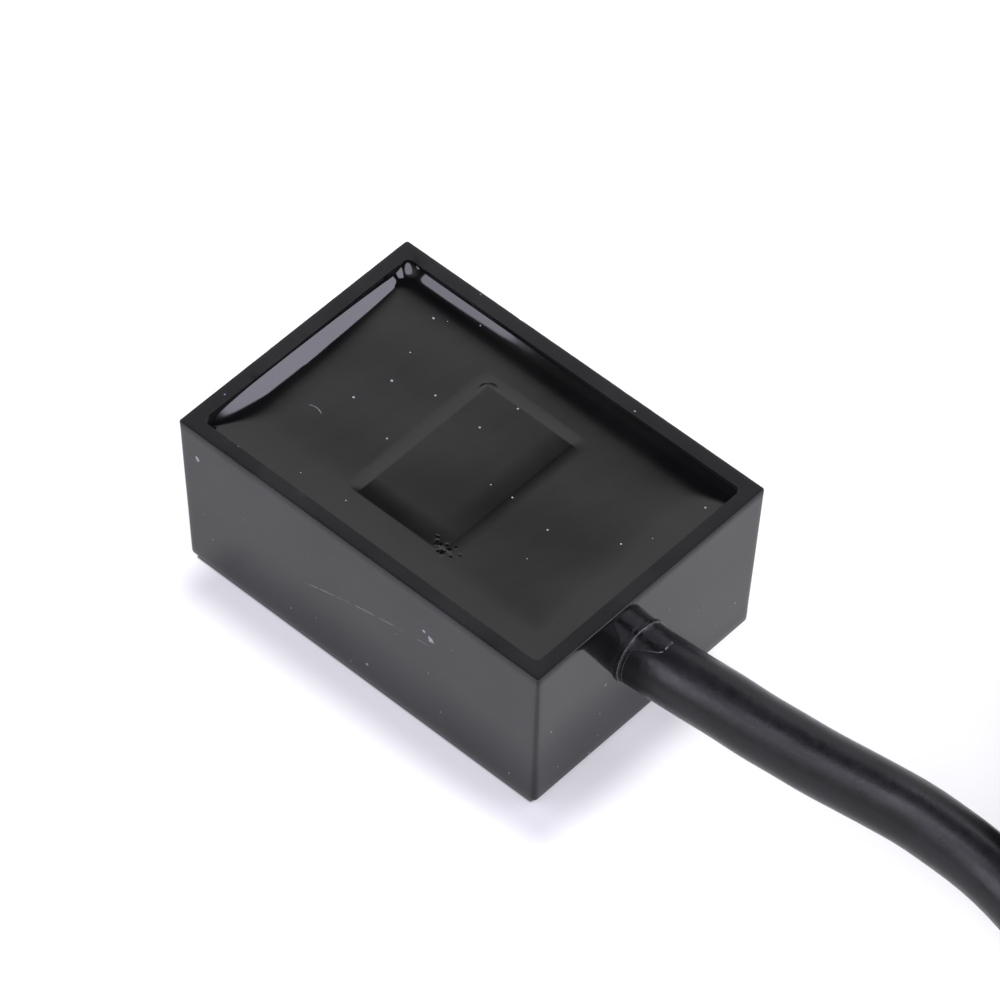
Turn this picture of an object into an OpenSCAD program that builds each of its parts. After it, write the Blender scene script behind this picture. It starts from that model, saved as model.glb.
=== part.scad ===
// Potted block proximity sensor with a pre-wired three-core cable.
// The box is open at the top and filled with black resin. Its closed base carries an adhesive pad.
// +X points out along the cable, +Z out of the resin face. The origin is the centre of the pad's underside.

/* [Housing] */
// Length of the housing along X, at the rim
body_l = 28; // [28:0.5:32]
// Width of the housing along Y, at the rim
body_w = 19.3; // [19:0.1:22]
// Height from the pad's underside to the rim
body_h = 12.1; // [12:0.1:14]
// Wall thickness at the rim
wall = 1; // [0.8:0.1:1]
// Thickness of the housing's floor
floor_t = 1; // [0.8:0.1:1.2]
// How much narrower each side is at the base than at the rim
draft = 0.3; // [0:0.05:0.4]
// Radius of the upright edges at the rim
edge_r = 0.2; // [0.2:0.1:0.6]
// Radius of the edges round the base
base_r = 0.4; // [0.4:0.1:0.9]
// Thickness of the adhesive pad
pad_t = 0.25; // [0.2:0.05:0.4]

/* [Resin] */
// Depth of the resin's surface below the rim
resin_drop = 0.9; // [0.6:0.1:1.2]
// Height of the raised rectangle where the resin drapes over the sensing element
resin_rise = 0.2; // [0.2:0.05:0.4]
// Thickness of the resin on the element's sides within the raised rectangle
resin_drape = 0.1; // [0.1:0.05:0.3]
// Depth of the element's top below the resin's general surface
core_drop = 0.1; // [0.1:0.05:0.3]

/* [Sensing element] */
// Size of the ferrite core along X
core_x = 6.4; // [6.2:0.1:6.8]
// Size of the ferrite core along Y
core_y = 10.8; // [10.4:0.1:11.2]
// Height of the ferrite core
core_h = 4.8; // [4.4:0.1:5]
// Offset of the core's centre along Y
core_off_y = -0.4; // [-0.6:0.1:0.4]

/* [Circuit board] */
// Length of the circuit board along X
board_l = 24.4; // [24:0.1:25]
// Width of the circuit board along Y
board_w = 15.8; // [15.6:0.1:16.4]
// Thickness of the circuit board
board_t = 0.8; // [0.6:0.1:1]
// Height of the ribs that the board stands on, above the housing's floor
rib_h = 1.2; // [1:0.1:1.4]

/* [Cable] */
// Outer diameter of the cable's jacket
cable_d = 4; // [3.8:0.1:4]
// Diameter of each insulated core
lead_d = 1.2; // [1.1:0.1:1.3]
// Diameter of each bare conductor
strand_d = 0.6; // [0.5:0.1:0.7]
// Length of the film of sealant on the cable outside the wall
seal_l = 1.75; // [1:0.25:2]

/* [Stored coil] */
// Radius at the middle of the turns
coil_r = 20; // [20:0.5:24]
// Thickness of each cable tie's band
tie_t = 0.6; // [0.5:0.1:0.8]
// Width of each cable tie's band
tie_w = 2.6; // [2:0.2:4]

/* [Hidden] */
$fn = 48;

black = "#1b1b1d";
cavity_l = body_l - 2 * wall;
cavity_w = body_w - 2 * wall;
cavity_r = 0.4;
floor_z = pad_t + floor_t;
resin_z = body_h - resin_drop;
board_z = floor_z + rib_h;
board_top = board_z + board_t;
core_top = resin_z - core_drop;
core_z = core_top - core_h;
back_t = 1.5;
post_d = 3.4;
leg_y = 1.9;
spool_d = core_x - 0.2;
spool_t = 0.3;
hub_t = 0.3;
spool_gap = 0.1;
coil_lead_d = 0.25;
coil_lead_x = core_x / 2 + 0.15;
coil_lead_z = core_z + back_t + 0.6;
peg_d = 1.2;
peg_drop = 0.15;
notch = 0.85;
rib_x = 9.6;
rib_t = 1.2;

// Places and sizes of the parts on the board. A chip's third number turns it about Z.
ic_at = [-8, 3];
ic_size = [4, 5, 1.5];
transistor_at = [-8, -2.4];
diode_at = [-8, -5.8];
zener_at = [8.4, 6];
zener_d = 1.4;
zener_lift = 0.15;
tantalum_at = [8.4, -6];
chip_l = 1;
chip_w = 0.8;
chip_t = 0.4;
cap_l = 0.3;
resistor_places = [[-4.8, 6.6, 0], [-4.8, -7, 0], [4.8, 6.6, 0], [4.8, -7, 0]];
capacitor_places = [[-11.4, -1, 90], [-4.6, 3, 90], [11.4, 3, 90]];

// The cable leaves the middle of the +X wall, a little above mid height.
exit_y = -0.8;
exit_z = 6.7;
jacket_end_x = 9.6;
pad_x = 5.6;
core_gap = 1.3;
seal_t = 0.12;
ring_x = 10.4;
ring_l = 1.5;
ring_t = 0.5;

// Centre of the stored coil, and the places of its layers.
coil_c = [55, 24.4];
layer_dz = cable_d;
nest_dz = cable_d * sqrt(3) / 2;
low_z = tie_t + cable_d / 2;
mid_z = low_z + layer_dz;
top_z = mid_z + nest_dz;
tail_r = coil_r - cable_d / 2;
tail_from = -90;
tail_to = 130;
lead_to = 214;
lead_step = 7;
lead_z = mid_z + cable_d / 2 + lead_d / 2 + 0.1;
lead_gap = 1.5;
tip_to = 228;
tie_angles = [45, 290];

// Where the cable runs between the board and the coil's first turn.
cable_route = [
    [9.6, -0.8, 6.7], [12, -0.8, 6.7], [14, -0.8, 6.7], [16, -0.7, 6.7], [18, -0.5, 6.6],
    [20, -0.2, 6.4], [22, 0.1, 6.1], [24, 0.5, 5.8], [26, 0.9, 5.5], [28, 1.4, 5.2],
    [30, 1.9, 4.9], [32, 2.4, 4.5], [34, 2.7, 4.1], [36, 2.9, 3.7], [38, 2.9, 3.3],
    [40, 2.7, 2.9], [42, 2.4, 2.6], [45, 1.7, 2.3], [48, 1.1, 2.3], [51, 0.6, 2.4],
    [55, 0.4, 2.6]
];

// A box with round upright edges, from z0 to z1, centred on the Z axis.
module round_box(l, w, r, z0, z1) {
    translate([-l / 2, r - w / 2, z0]) cube([l, w - 2 * r, z1 - z0]);
    translate([r - l / 2, -w / 2, z0]) cube([l - 2 * r, w, z1 - z0]);
    for (sx = [-1, 1], sy = [-1, 1])
        translate([sx * (l / 2 - r), sy * (w / 2 - r), z0]) cylinder(r = r, h = z1 - z0);
}

// A thin level slab whose corners are round, inset on every side.
module slab(inset, r, z) {
    for (sx = [-1, 1], sy = [-1, 1])
        translate([sx * (body_l / 2 - inset - r), sy * (body_w / 2 - inset - r), z])
            cylinder(r = r, h = 0.01, $fn = 32);
}

// A box that is centred in X and Y and stands on z = 0.
module block(size) {
    translate([-size[0] / 2, -size[1] / 2, 0]) cube(size);
}

// A straight rod between two points.
module rod(a, b, d) {
    v = b - a;
    translate(a)
        rotate([0, acos(v[2] / norm(v)), atan2(v[1], v[0])])
            cylinder(d = d, h = norm(v));
}

// A tube swept along points, with flat ends, as one closed polyhedron.
function direction(pts, i) =
    let (a = pts[max(i - 1, 0)], b = pts[min(i + 1, len(pts) - 1)]) (b - a) / norm(b - a);
function side_of(t) = let (s = cross([0, 0, 1], t)) s / norm(s);
function ring_points(pts, i, r, sides) =
    let (t = direction(pts, i), s = side_of(t), u = cross(t, s))
    [for (k = [0:sides - 1]) pts[i] + r * (cos(360 * k / sides) * s + sin(360 * k / sides) * u)];
module tube(pts, d, sides) {
    n = len(pts);
    points = [for (i = [0:n - 1]) each ring_points(pts, i, d / 2, sides)];
    walls = [
        for (i = [0:n - 2], k = [0:sides - 1])
            let (a = i * sides + k, b = i * sides + (k + 1) % sides)
            each [[a, a + sides, b], [b, a + sides, b + sides]]
    ];
    first = [for (k = [0:sides - 1]) k];
    last = [for (k = [sides - 1:-1:0]) (n - 1) * sides + k];
    polyhedron(points, concat(walls, [first, last]));
}
function at_angle(r, a, z) = [coil_c[0] + r * cos(a), coil_c[1] + r * sin(a), z];

// The three leads come out of the jacket's end as a bundle, fan out and settle on the turns below.
// k is -1, 0 or 1, from the inside of the coil outwards.
function ease(t) = let (u = min(max(t, 0), 1)) u * u * (3 - 2 * u);
function lead_point(k, a) =
    let (
        t = ease((a - tail_to) / 40),
        bundle_r = tail_r + k * 0.65,
        bundle_z = top_z + (k == 0 ? 0.7 : -0.4),
        rest_r = tail_r - 0.3 + k * lead_gap
    )
    at_angle(bundle_r + (rest_r - bundle_r) * t, a, bundle_z + (lead_z - bundle_z) * t);
function lead_points(k, from, to) = [for (a = [from:lead_step:to]) lead_point(k, a)];

module housing() {
    color(black) {
        difference() {
            hull() {
                slab(0, edge_r, body_h - 0.01);
                for (a = [0:15:90])
                    slab(draft + base_r * (1 - sin(a)), base_r, pad_t + base_r * (1 - cos(a)));
            }
            round_box(cavity_l, cavity_w, cavity_r, floor_z, body_h + 1);
            translate([body_l / 2 - wall - 1, exit_y, exit_z])
                rotate([0, 90, 0]) cylinder(d = cable_d + 2 * seal_t, h = wall + 2);
        }
        for (sx = [-1, 1])
            translate([sx * rib_x, 0, floor_z - floor_t / 2])
                block([rib_t, board_w - 3, rib_h + floor_t / 2]);
    }
}

module adhesive_pad() {
    pad_inset = draft + base_r + 0.1;
    color("#2a2a2c")
        round_box(body_l - 2 * pad_inset, body_w - 2 * pad_inset, 0.5, 0, pad_t);
}

// Everything that the resin flows round.
module embedded_parts() {
    circuit_board();
    core_cradle();
    ferrite_core();
    coil_spool();
    coil_winding();
    coil_leads();
    oscillator_ic();
    ic_leads();
    output_transistor();
    transistor_leads();
    protection_diode();
    diode_terminals();
    zener_diode();
    zener_caps();
    tantalum_capacitor();
    tantalum_terminals();
    chip_resistors();
    chip_capacitors();
    chip_terminals();
    solder_joints();
    strain_relief_ring();
    inner_core(-1);
    inner_core(0);
    inner_core(1);
}

module potting_resin() {
    color("#161618")
        difference() {
            union() {
                round_box(cavity_l, cavity_w, cavity_r, floor_z, resin_z);
                translate([0, core_off_y, resin_z - 0.5])
                    block([core_x + 2 * resin_drape, core_y + 2 * resin_drape, 0.5 + resin_rise]);
            }
            for (sx = [-1, 1])
                translate([sx * rib_x, 0, floor_z - 1]) block([rib_t, board_w - 3, rib_h + 1]);
            translate([jacket_end_x, exit_y, exit_z])
                rotate([0, 90, 0]) cylinder(d = cable_d, h = 6);
            embedded_parts();
        }
}

module circuit_board() {
    color("#1f5c3a")
        difference() {
            translate([0, 0, board_z]) block([board_l, board_w, board_t]);
            for (sx = [-1, 1])
                translate([sx * coil_lead_x, core_off_y, board_z - 1])
                    cylinder(d = coil_lead_d, h = board_t + 2);
        }
}

// The moulded stand that holds the core up to the resin's surface, with two corner pegs.
module core_cradle() {
    color("#3a3a3c")
        difference() {
            union() {
                translate([0, core_off_y, board_top])
                    block([core_x, core_y, core_z - board_top]);
                for (s = [-1, 1])
                    translate([-s * (core_x / 2 - 0.1), core_off_y + s * (core_y / 2 - 0.1), board_top])
                        cylinder(d = peg_d, h = core_top - peg_drop - board_top);
            }
            translate([0, core_off_y, board_top - 1])
                block([core_x - 2, core_y - 2, core_z - board_top]);
            for (s = [-1, 1])
                translate([0, core_off_y + s * core_y / 2, board_top - 1])
                    block([2.4, 4, 2.4]);
        }
}

// E-shaped core: a back plate, two end legs and a round centre post, open upwards.
// Two of its corners are notched to clear the cradle's pegs.
module ferrite_core() {
    color("#2d2d30")
        translate([0, core_off_y, core_z]) {
            difference() {
                block([core_x, core_y, core_h]);
                translate([0, 0, back_t]) block([core_x + 2, core_y - 2 * leg_y, core_h]);
                for (s = [-1, 1])
                    translate([-s * core_x / 2, s * core_y / 2, -1])
                        block([2 * notch, 2 * notch, core_h + 2]);
            }
            translate([0, 0, back_t / 2]) cylinder(d = post_d, h = core_h - back_t / 2);
        }
}

module coil_spool() {
    spool_z = core_z + back_t;
    spool_h = core_h - back_t - spool_gap;
    color("#d8d2bd")
        translate([0, core_off_y, spool_z])
            rotate_extrude()
                polygon([
                    [post_d / 2, 0], [spool_d / 2, 0], [spool_d / 2, spool_t],
                    [post_d / 2 + hub_t, spool_t], [post_d / 2 + hub_t, spool_h - spool_t],
                    [spool_d / 2, spool_h - spool_t], [spool_d / 2, spool_h], [post_d / 2, spool_h]
                ]);
}

module coil_winding() {
    winding_z = core_z + back_t + spool_t;
    winding_h = core_h - back_t - spool_gap - 2 * spool_t;
    color("#a8562a")
        translate([0, core_off_y, winding_z])
            difference() {
                cylinder(d = spool_d - 0.4, h = winding_h);
                translate([0, 0, -1]) cylinder(d = post_d + 2 * hub_t, h = winding_h + 2);
            }
}

module coil_leads() {
    color("#a8562a")
        for (s = [-1, 1]) {
            rod([s * (spool_d / 2 - 0.4), core_off_y, coil_lead_z],
                [s * coil_lead_x, core_off_y, coil_lead_z], coil_lead_d);
            translate([s * coil_lead_x, core_off_y, coil_lead_z]) sphere(d = coil_lead_d);
            rod([s * coil_lead_x, core_off_y, board_z - 0.3],
                [s * coil_lead_x, core_off_y, coil_lead_z], coil_lead_d);
        }
}

module oscillator_ic() {
    color("#222224")
        translate([ic_at[0], ic_at[1], board_top + 0.1]) block(ic_size);
}

module ic_leads() {
    color("silver")
        for (s = [-1, 1], k = [-1.5:1:1.5])
            translate([ic_at[0] + s * (ic_size[0] / 2 + 0.5), ic_at[1] + k * 1.27, board_top]) {
                block([1, 0.4, 0.2]);
                translate([-s * 0.4, 0, 0]) block([0.2, 0.4, 0.8]);
            }
}

module output_transistor() {
    color("#222224")
        translate([transistor_at[0], transistor_at[1], board_top + 0.1]) block([2.9, 1.3, 1]);
}

module transistor_leads() {
    color("silver")
        for (p = [[-0.95, -1], [0.95, -1], [0, 1]])
            translate([transistor_at[0] + p[0], transistor_at[1] + p[1] * 0.95, board_top])
                block([0.4, 0.6, 0.5]);
}

module protection_diode() {
    color("#222224")
        translate([diode_at[0], diode_at[1], board_top + 0.1]) block([4.3, 2.6, 2]);
}

module diode_terminals() {
    color("silver")
        for (s = [-1, 1])
            translate([diode_at[0] + s * 2.35, diode_at[1], board_top]) block([0.4, 1.5, 1]);
}

module zener_diode() {
    color("#c86b4a", 0.7)
        translate([zener_at[0] - 1.3, zener_at[1], board_top + zener_d / 2 + zener_lift])
            rotate([0, 90, 0]) cylinder(d = zener_d, h = 2.6);
}

module zener_caps() {
    color("silver")
        for (s = [-1, 1])
            translate([zener_at[0] + s * 1.55 - 0.25, zener_at[1], board_top + zener_d / 2 + zener_lift])
                rotate([0, 90, 0]) cylinder(d = zener_d + 0.2, h = 0.5);
}

module tantalum_capacitor() {
    color("#c9a23a")
        translate([tantalum_at[0], tantalum_at[1], board_top + 0.1]) block([3.5, 2.8, 1.8]);
}

module tantalum_terminals() {
    color("silver")
        for (s = [-1, 1])
            translate([tantalum_at[0] + s * 1.9, tantalum_at[1], board_top]) block([0.3, 2.2, 1]);
}

// Size 0603 chip parts: a body between two end terminals, turned along X or along Y.
module chip_body(place) {
    translate([place[0], place[1], board_top]) rotate([0, 0, place[2]]) block([chip_l, chip_w, chip_t]);
}

module chip_resistors() {
    color("#202023") for (p = resistor_places) chip_body(p);
}

module chip_capacitors() {
    color("#9a7650") for (p = capacitor_places) chip_body(p);
}

module chip_terminals() {
    color("silver")
        for (p = concat(resistor_places, capacitor_places), s = [-1, 1])
            translate([p[0], p[1], board_top])
                rotate([0, 0, p[2]])
                    translate([s * (chip_l + cap_l) / 2, 0, 0]) block([cap_l, chip_w, chip_t]);
}

// Where each core lands on the board: a low cone of solder round its bare conductor.
module solder_joints() {
    color("silver")
        for (k = [-1:1])
            translate([pad_x, exit_y + k * core_gap, board_top]) cylinder(d1 = 1.2, d2 = 0.7, h = 0.5);
}

// A crimped ring round the jacket inside the box, which the resin locks in place.
module strain_relief_ring() {
    color("#b08d4a")
        translate([ring_x, exit_y, exit_z])
            rotate([0, 90, 0])
                difference() {
                    cylinder(d = cable_d + 2 * ring_t, h = ring_l);
                    translate([0, 0, -1]) cylinder(d = cable_d, h = ring_l + 2);
                }
}

module entry_sealant() {
    color("#19191b")
        translate([body_l / 2 - wall, exit_y, exit_z])
            rotate([0, 90, 0])
                difference() {
                    cylinder(d = cable_d + 2 * seal_t, h = wall + seal_l);
                    translate([0, 0, -1]) cylinder(d = cable_d, h = wall + seal_l + 2);
                }
}

// A core goes level out of the jacket's end, turns down and stands on its solder joint.
module inner_core(k) {
    y = exit_y + k * core_gap;
    rod([pad_x, y, exit_z], [jacket_end_x, y, exit_z], lead_d);
    translate([pad_x, y, exit_z]) sphere(d = lead_d);
    rod([pad_x, y, board_top + 0.5], [pad_x, y, exit_z], lead_d);
}

module inner_brown_core() {
    color("#6b3f22") inner_core(-1);
}

module inner_blue_core() {
    color("#2a5fb4") inner_core(0);
}

module inner_black_core() {
    color("#1a1a1a") inner_core(1);
}

// The run stops where it meets the outer shape of the stored coil.
module cable_run() {
    reach = coil_r + 1.5 * cable_d - 0.5;
    free = [for (p = cable_route) if (norm([p[0], p[1]] - coil_c) > reach) p];
    color("#2b2b2d") tube(free, cable_d, 10);
}

// The outer shape of the turns: two full layers and one turn nested on top.
module cable_coil() {
    in_r = coil_r - 1.5 * cable_d;
    out_r = coil_r + 1.5 * cable_d;
    top = top_z + cable_d / 2;
    color("#2b2b2d")
        translate([coil_c[0], coil_c[1], 0])
            rotate_extrude($fn = 64)
                polygon([
                    [in_r + 0.6, tie_t], [out_r - 0.6, tie_t], [out_r, tie_t + 0.6],
                    [out_r, mid_z + 1.4], [out_r - 2, mid_z + 2], [coil_r + 4, top - 1],
                    [coil_r + 3, top], [coil_r + 1, top], [coil_r, top - 1], [coil_r, mid_z + 1.4],
                    [in_r, mid_z + 1.4], [in_r, tie_t + 0.6]
                ]);
}

// The last part of a turn, which lies in the groove on top of the coil.
module cable_tail() {
    points = [for (a = [tail_from:20:tail_to]) at_angle(tail_r, a, top_z)];
    color("#2b2b2d") tube(points, cable_d, 10);
}

// A band round the whole bundle of turns, with its ratchet head on the outside.
module tie_outline(grow) {
    low = tie_t - grow;
    high = top_z + cable_d / 2 + grow;
    in_r = coil_r - 1.5 * cable_d - grow;
    out_r = coil_r + 1.5 * cable_d + grow;
    polygon([
        [in_r, low], [out_r, low], [out_r, mid_z + 2], [coil_r + 4 + grow / 2, high],
        [coil_r - 4 - grow / 2, high], [in_r, mid_z + 2]
    ]);
}

module cable_ties() {
    color("#e8e6dc")
        for (a = tie_angles)
            translate([coil_c[0], coil_c[1], 0])
                rotate([90, 0, a])
                    translate([0, 0, -tie_w / 2]) {
                        linear_extrude(tie_w)
                            difference() {
                                tie_outline(tie_t);
                                tie_outline(0);
                            }
                        translate([coil_r + 1.5 * cable_d + tie_t, mid_z - 2.2, -0.6])
                            cube([1.8, 3.4, tie_w + 1.2]);
                    }
}

module flying_lead(k) {
    tube(lead_points(k, tail_to, lead_to), lead_d, 8);
}

module lead_brown() {
    color("#6b3f22") flying_lead(-1);
}

module lead_blue() {
    color("#2a5fb4") flying_lead(0);
}

module lead_black() {
    color("#1a1a1a") flying_lead(1);
}

// The stripped and tinned ends of the three leads.
module lead_tips() {
    color("silver")
        for (k = [-1:1]) tube(lead_points(k, lead_to, tip_to), strand_d, 8);
}

housing();
adhesive_pad();
potting_resin();
circuit_board();
core_cradle();
ferrite_core();
coil_spool();
coil_winding();
coil_leads();
oscillator_ic();
ic_leads();
output_transistor();
transistor_leads();
protection_diode();
diode_terminals();
zener_diode();
zener_caps();
tantalum_capacitor();
tantalum_terminals();
chip_resistors();
chip_capacitors();
chip_terminals();
solder_joints();
strain_relief_ring();
entry_sealant();
inner_brown_core();
inner_blue_core();
inner_black_core();
cable_run();
cable_coil();
cable_tail();
cable_ties();
lead_brown();
lead_blue();
lead_black();
lead_tips();
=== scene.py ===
import math

import bmesh
import bpy
import numpy as np
from mathutils import Matrix, Vector, noise


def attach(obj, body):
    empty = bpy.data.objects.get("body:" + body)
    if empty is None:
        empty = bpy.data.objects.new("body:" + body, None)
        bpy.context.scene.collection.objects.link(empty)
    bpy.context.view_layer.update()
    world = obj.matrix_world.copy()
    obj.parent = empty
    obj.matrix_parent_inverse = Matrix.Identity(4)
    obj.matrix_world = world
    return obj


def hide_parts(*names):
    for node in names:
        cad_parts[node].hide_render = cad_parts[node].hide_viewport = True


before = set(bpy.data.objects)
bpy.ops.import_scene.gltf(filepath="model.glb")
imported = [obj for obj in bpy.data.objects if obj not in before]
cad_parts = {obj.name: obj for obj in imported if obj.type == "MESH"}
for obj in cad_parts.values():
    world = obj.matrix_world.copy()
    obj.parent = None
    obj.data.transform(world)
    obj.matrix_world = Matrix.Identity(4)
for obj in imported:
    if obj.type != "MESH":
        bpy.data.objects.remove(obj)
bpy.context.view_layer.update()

MM = 0.001
scene = bpy.context.scene
scene.view_settings.view_transform = "Standard"
scene.view_settings.look = "None"


# ---------------------------------------------------------------- camera
CAMERA_AT = Vector((0.16353, -0.18302, 0.30016))
CAMERA_TARGET = Vector((0.00011, 0.00250, 0.0060))
CAMERA_ROLL = math.radians(1.43)
CAMERA_LENS = 237.8


def make_camera():
    data = bpy.data.cameras.new("camera")
    data.sensor_width = 36
    data.lens = CAMERA_LENS
    data.clip_start, data.clip_end = 0.01, 20
    cam = bpy.data.objects.new("camera", data)
    scene.collection.objects.link(cam)
    turn = (CAMERA_TARGET - CAMERA_AT).to_track_quat("-Z", "Y").to_matrix().to_4x4()
    cam.matrix_world = Matrix.Translation(CAMERA_AT) @ turn @ Matrix.Rotation(CAMERA_ROLL, 4, "Z")
    scene.camera = cam


make_camera()


# ---------------------------------------------------------------- small tools
def smooth(low, high, x):
    """0 below low, 1 above high, an S curve between."""
    t = min(max((x - low) / (high - low), 0.0), 1.0)
    return t * t * (3 - 2 * t)


def smooth_array(low, high, x):
    t = np.clip((x - low) / (high - low), 0, 1)
    return t * t * (3 - 2 * t)


def add_mesh(name, verts, faces, body="root", slot=None, replaces=()):
    """A mesh object, with its points given in millimetres."""
    mesh = bpy.data.meshes.new(name)
    mesh.from_pydata([tuple(c * MM for c in v) for v in verts], [], faces)
    mesh.validate()
    return add_piece(name, mesh, body, replaces)


def add_piece(name, data, body="root", replaces=()):
    obj = bpy.data.objects.new(name, data)
    scene.collection.objects.link(obj)
    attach(obj, body)
    if replaces:
        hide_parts(*replaces)
    return obj


def shade(obj, angle=35):
    """Smooth shading, with edges sharper than the angle kept crisp."""
    obj.data.shade_smooth()
    obj.data.set_sharp_from_angle(angle=math.radians(angle))


def add_cord_curve(name, points, diameter, sides=8, steps=4):
    """A round cord along points in millimetres."""
    curve = bpy.data.curves.new(name, "CURVE")
    curve.dimensions = "3D"
    curve.bevel_depth = 1.0
    curve.bevel_resolution = sides
    curve.resolution_u = steps
    curve.use_fill_caps = True
    spline = curve.splines.new("BEZIER")
    spline.bezier_points.add(len(points) - 1)
    for place, p in zip(spline.bezier_points, points):
        place.co = Vector(p) * MM
        place.radius = diameter / 2 * MM
        place.handle_left_type = place.handle_right_type = "AUTO"
    spline.resolution_u = steps
    return curve


# ---------------------------------------------------------------- cable
CABLE_D = 4.0
EXIT = (14.0, -0.8, 6.7)
CABLE_ROUTE = [
    (9.6, -0.8, 6.7), (12, -0.8, 6.7), (14, -0.8, 6.7), (16, -0.7, 6.7), (18, -0.5, 6.6),
    (20, -0.2, 6.4), (22, 0.1, 6.1), (24, 0.5, 5.8), (26, 0.9, 5.5), (28, 1.4, 5.2),
    (30, 1.9, 4.9), (32, 2.4, 4.5), (34, 2.7, 4.1), (36, 2.9, 3.7), (38, 2.9, 3.3),
    (40, 2.7, 2.9), (42, 2.4, 2.6), (45, 1.7, 2.3), (48, 1.1, 2.3), (51, 0.6, 2.4),
]
COIL_C = (55.0, 24.4)
COIL_R = 20.0
TIE_T = 0.6
LOW_Z = TIE_T + CABLE_D / 2
MID_Z = LOW_Z + CABLE_D
TOP_Z = MID_Z + CABLE_D * math.sqrt(3) / 2
TAIL_R = COIL_R - CABLE_D / 2
FIRST = -90
# Each turn's radius, and the angle after FIRST, in degrees, where the cable moves to the next one.
TURN_R = [24, 20, 16, 16, 20, 24, 22, 18]
MOVE_AT = [273, 268, 236, 222, 222, 251, 199]
MOVE_LONG = 88
RISE_AT = [2 * 360 + 247, 5 * 360 + 196]
RISE_LONG = 83
COIL_END = 7 * 360 + 220
COIL_STEP = 7.5


def on_circle(r, angle, z):
    a = math.radians(angle)
    return (COIL_C[0] + r * math.cos(a), COIL_C[1] + r * math.sin(a), z)


def coil_points():
    points = []
    for k in range(int(COIL_END / COIL_STEP) + 1):
        a = k * COIL_STEP
        r = TURN_R[0]
        for turn, start in enumerate(MOVE_AT):
            at = 360 * turn + start
            r += (TURN_R[turn + 1] - TURN_R[turn]) * smooth(at, at + MOVE_LONG, a)
        z = LOW_Z
        z += (MID_Z - LOW_Z) * smooth(RISE_AT[0], RISE_AT[0] + RISE_LONG, a)
        z += (TOP_Z - MID_Z) * smooth(RISE_AT[1], RISE_AT[1] + RISE_LONG, a)
        points.append(on_circle(r, a + FIRST, z))
    return points


cable_curve = add_cord_curve("sensor_cable", CABLE_ROUTE + coil_points(), CABLE_D)
cable = add_piece(
    "sensor_cable", cable_curve, replaces=("cable_run", "cable_coil", "cable_tail")
)

LEAD_D = 1.2
STRAND_D = 0.6
# The angles at which the jacket, the leads and their stripped tips end, in degrees.
TAIL_TO = 130
LEAD_TO = 214
TIP_TO = 228
LEAD_Z = MID_Z + CABLE_D / 2 + LEAD_D / 2 + 0.1
LEAD_GAP = 1.5


def lead_point(k, angle):
    t = smooth(TAIL_TO, TAIL_TO + 40, angle)
    bundle_r = TAIL_R + k * 0.65
    bundle_z = TOP_Z + (0.7 if k == 0 else -0.4)
    rest_r = TAIL_R - 0.3 + k * LEAD_GAP
    r = bundle_r + (rest_r - bundle_r) * t
    return on_circle(r, angle, bundle_z + (LEAD_Z - bundle_z) * t)


for k, core in zip((-1, 0, 1), ("brown", "blue", "black")):
    points = [lead_point(k, a) for a in np.arange(TAIL_TO - 2, LEAD_TO + 0.1, 3)]
    curve = add_cord_curve("flying_" + core, points, LEAD_D, sides=6)
    add_piece("flying_" + core, curve, replaces=("lead_" + core,))


def twisted_tip(k):
    """The tinned strands of one lead: seven thin wires, lightly twisted, as closed tubes."""
    verts, faces = [], []
    angles = np.arange(LEAD_TO - 1, TIP_TO + 0.1, 0.7)
    wire_r, sides = STRAND_D / 6, 8
    for wire in range(7):
        first = len(verts)
        for i, a in enumerate(angles):
            centre = Vector(lead_point(k, a))
            along = (Vector(lead_point(k, a + 0.5)) - Vector(lead_point(k, a - 0.5))).normalized()
            side = Vector((0, 0, 1)).cross(along).normalized()
            up = along.cross(side)
            turn = math.radians(60 * wire + 9 * i)
            if wire:
                centre = centre + 2 * wire_r * (math.cos(turn) * side + math.sin(turn) * up)
            for s in range(sides):
                b = 2 * math.pi * s / sides
                verts.append(centre + wire_r * 1.02 * (math.cos(b) * side + math.sin(b) * up))
        for i in range(len(angles) - 1):
            for s in range(sides):
                p, q = first + i * sides + s, first + i * sides + (s + 1) % sides
                faces.append((p, q, q + sides, p + sides))
        faces.append([first + s for s in reversed(range(sides))])
        last = first + (len(angles) - 1) * sides
        faces.append([last + s for s in range(sides)])
    return verts, faces


tip_verts, tip_faces = [], []
for k in (-1, 0, 1):
    verts, faces = twisted_tip(k)
    tip_faces += [[i + len(tip_verts) for i in face] for face in faces]
    tip_verts += verts
tips = add_mesh("tinned_ends", tip_verts, tip_faces, slot="tin", replaces=("lead_tips",))
shade(tips, 60)


# ---------------------------------------------------------------- cable ties
TIE_W = 2.6
TIE_ANGLES = [45, 290]
TIE_STEPS = 72
TIE_CHAMFER = 0.12
TIE_DISH = 0.1
HEAD_SIZE = (1.8, TIE_W + 1.2, 3.4)
HEAD_AT = (27.5, MID_Z - 0.5)
HEAD_BEVEL = 0.25
# Where the turns at the pile's corners lie, as (radius, height).
SLOTS = [
    (24, LOW_Z), (16, LOW_Z), (16, MID_Z), (24, MID_Z), (COIL_R + 2, TOP_Z), (COIL_R - 2, TOP_Z),
]


def tie_outline(reach):
    """The band's line round the turns, in (radius, height)."""
    points = []
    for step in range(TIE_STEPS):
        a = math.radians(360 * step / TIE_STEPS)
        n = (math.cos(a), math.sin(a))
        r, z = max(SLOTS, key=lambda s: s[0] * n[0] + s[1] * n[1])
        points.append((r + reach * n[0], z + reach * n[1]))
    return points


def tie_place(angle, r, z, across):
    a = math.radians(angle)
    return (
        COIL_C[0] + r * math.cos(a) - across * math.sin(a),
        COIL_C[1] + r * math.sin(a) + across * math.cos(a),
        z,
    )


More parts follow.
